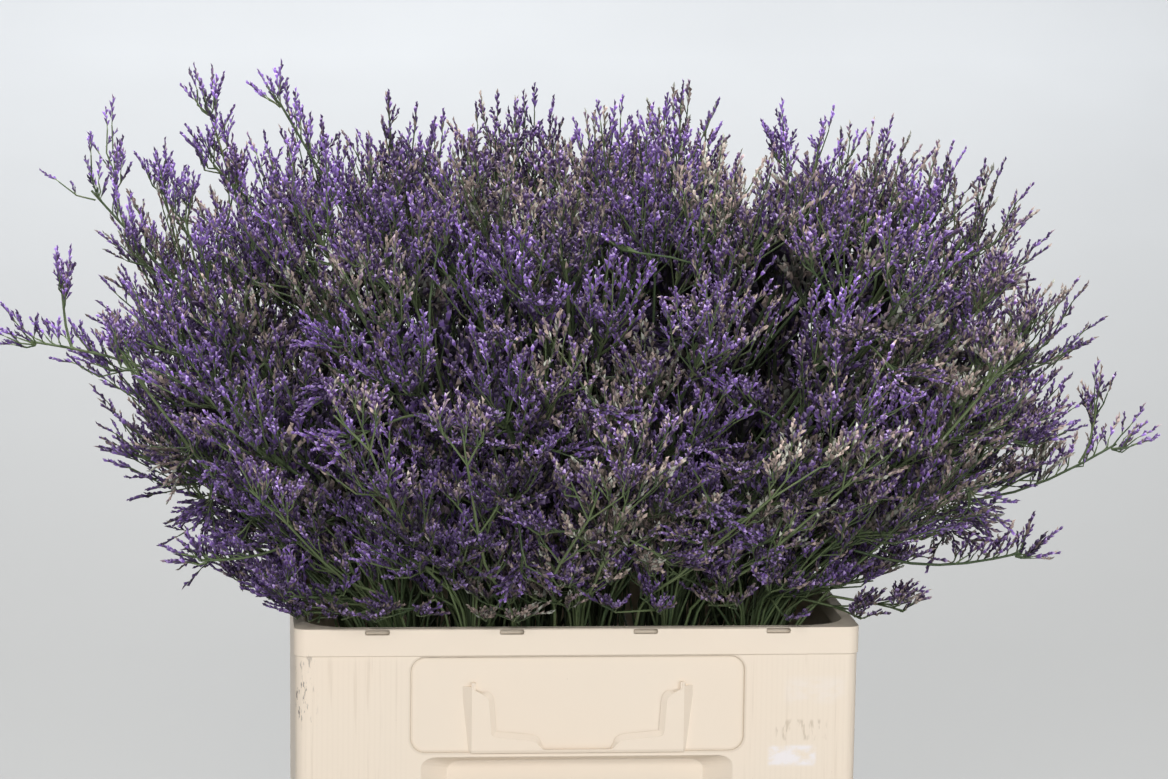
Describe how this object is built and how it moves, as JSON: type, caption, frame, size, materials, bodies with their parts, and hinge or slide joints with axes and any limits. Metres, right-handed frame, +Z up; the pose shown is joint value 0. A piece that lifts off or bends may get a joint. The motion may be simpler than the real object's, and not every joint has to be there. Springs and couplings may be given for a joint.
{
  "type": "dried statice",
  "caption": "Full bunch of violet dried statice, thin green stems that fork into heads of small flower spikes, standing in a rectangular cream plastic flower bucket.",
  "frame": {"origin": "centre of the bucket's flat underside", "axes": "+Z up, +X to the right across the bucket's long side, -Y out of the front, where the camera stands"},
  "size_m": [0.8356, 0.5811, 0.6772],
  "materials": {
    "bucket_plastic": "satin",
    "statice_flower": "matte",
    "statice_stalk": "matte"
  },
  "bodies": {
    "root": {"bucket": "bucket_plastic", "statice_stem_01": "statice_flower", "statice_stem_02": "statice_flower", "statice_stem_03": "statice_flower", "statice_stem_04": "statice_flower", "statice_stem_05": "statice_flower", "statice_stem_06": "statice_flower", "statice_stem_07": "statice_flower", "statice_stem_08": "statice_flower", "statice_stem_09": "statice_flower", "statice_stem_10": "statice_flower", "statice_stem_11": "statice_flower", "statice_stem_12": "statice_flower", "statice_stem_13": "statice_flower", "statice_stem_14": "statice_flower", "statice_stem_15": "statice_flower", "statice_stem_16": "statice_flower", "statice_stem_17": "statice_flower", "statice_stem_18": "statice_flower", "statice_stem_19": "statice_flower", "statice_stem_20": "statice_flower", "statice_stem_21": "statice_flower", "statice_stem_22": "statice_flower", "statice_stem_23": "statice_flower", "statice_stem_24": "statice_flower", "statice_stem_25": "statice_flower", "statice_stem_26": "statice_flower", "statice_stem_27": "statice_flower", "statice_stem_28": "statice_flower", "statice_stem_29": "statice_flower", "statice_stem_30": "statice_flower", "statice_stem_31": "statice_flower", "statice_stem_32": "statice_flower", "statice_stem_33": "statice_flower", "statice_stem_34": "statice_flower", "statice_stem_35": "statice_flower", "statice_stem_36": "statice_flower", "statice_stem_37": "statice_flower", "statice_stem_38": "statice_flower", "statice_stem_39": "statice_flower", "statice_stem_40": "statice_flower", "statice_stem_41": "statice_flower", "statice_stem_42": "statice_flower", "statice_stem_43": "statice_flower", "statice_stem_44": "statice_flower"}
  },
  "joints": []
}
